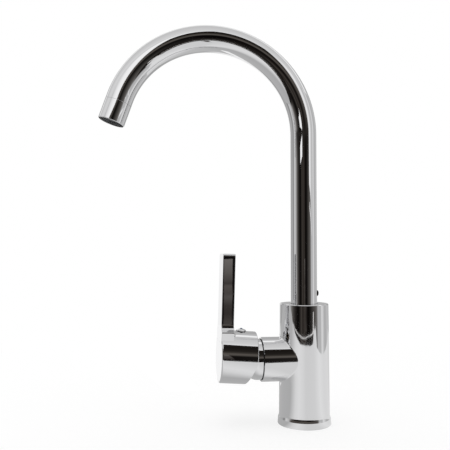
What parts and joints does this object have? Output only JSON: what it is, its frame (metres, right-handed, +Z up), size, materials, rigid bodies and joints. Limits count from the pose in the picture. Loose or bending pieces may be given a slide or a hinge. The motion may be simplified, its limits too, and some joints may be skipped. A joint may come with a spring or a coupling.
{
  "type": "three way kitchen tap",
  "caption": "Single lever kitchen tap with a swivelling swan neck, a side mounted mixer lever and a separate inner tube for filtered water.",
  "frame": {"origin": "middle of the foot, on the worktop, on the axis of the upright neck", "axes": "+Z up the neck; the boss, the lever and the closed position of the neck's outlet all point along -X; Y is across"},
  "size_m": [0.2287, 0.0522, 0.3918],
  "materials": {
    "polished_chrome": "polished",
    "machined_brass": "machined",
    "stainless_steel": "turned",
    "blackened_steel": "blackened",
    "white_nylon": "moulded",
    "alumina_ceramic": "lapped",
    "black_rubber": "moulded",
    "blue_enamel": "enamelled",
    "clear_hose_plastic": "extruded",
    "grey_acetal": "moulded"
  },
  "bodies": {
    "tap": {"tap_body": "polished_chrome", "base_ring": "polished_chrome", "base_seal": "black_rubber", "cartridge_base": "white_nylon", "cartridge_seals": "black_rubber", "fixed_disc": "alumina_ceramic", "cartridge_housing": "white_nylon", "retaining_nut": "machined_brass", "bezel_ring": "polished_chrome", "spout_clip": "stainless_steel", "upper_glide_ring": "white_nylon", "lower_glide_ring": "white_nylon"},
    "spout": {"spout_tube": "polished_chrome", "filtered_water_tube": "clear_hose_plastic", "spout_connector": "machined_brass", "spout_o_rings": "black_rubber", "spout_lock_screw": "blackened_steel", "outlet_bush": "machined_brass", "aerator_housing": "polished_chrome", "aerator_washer": "black_rubber", "aerator_insert": "grey_acetal", "aerator_screen": "stainless_steel"},
    "lever_swivel": {"stem_carrier": "white_nylon", "stem_pin": "stainless_steel"},
    "lever": {"lever_handle": "polished_chrome", "lever_stem": "stainless_steel", "handle_screw": "blackened_steel", "index_plug": "polished_chrome", "index_dot": "blue_enamel"},
    "valve_disc": {"moving_disc": "alumina_ceramic", "disc_carrier": "white_nylon"}
  },
  "joints": [
    {"name": "spout_swivel", "type": "hinge", "parent": "tap", "child": "spout", "pos_m": [0, 0, 0.1], "axis": [0, 0, 1], "continuous": true},
    {"name": "lever_turn", "type": "hinge", "parent": "tap", "child": "lever_swivel", "pos_m": [-0.028, 0, 0.0627], "axis": [-1, 0, 0], "range_deg": [-70, 70]},
    {"name": "lever_tilt", "type": "hinge", "parent": "lever_swivel", "child": "lever", "pos_m": [-0.028, 0, 0.0627], "axis": [0, -1, 0], "range_deg": [0, 25]},
    {"name": "disc_slide", "type": "slide", "parent": "lever_swivel", "child": "valve_disc", "axis": [0, 0, 1], "range_m": [0, 0.0029]}
  ],
  "couplings": [
    {"joint": "disc_slide", "follows": "lever_tilt", "m_per_rad": 0.00659}
  ]
}
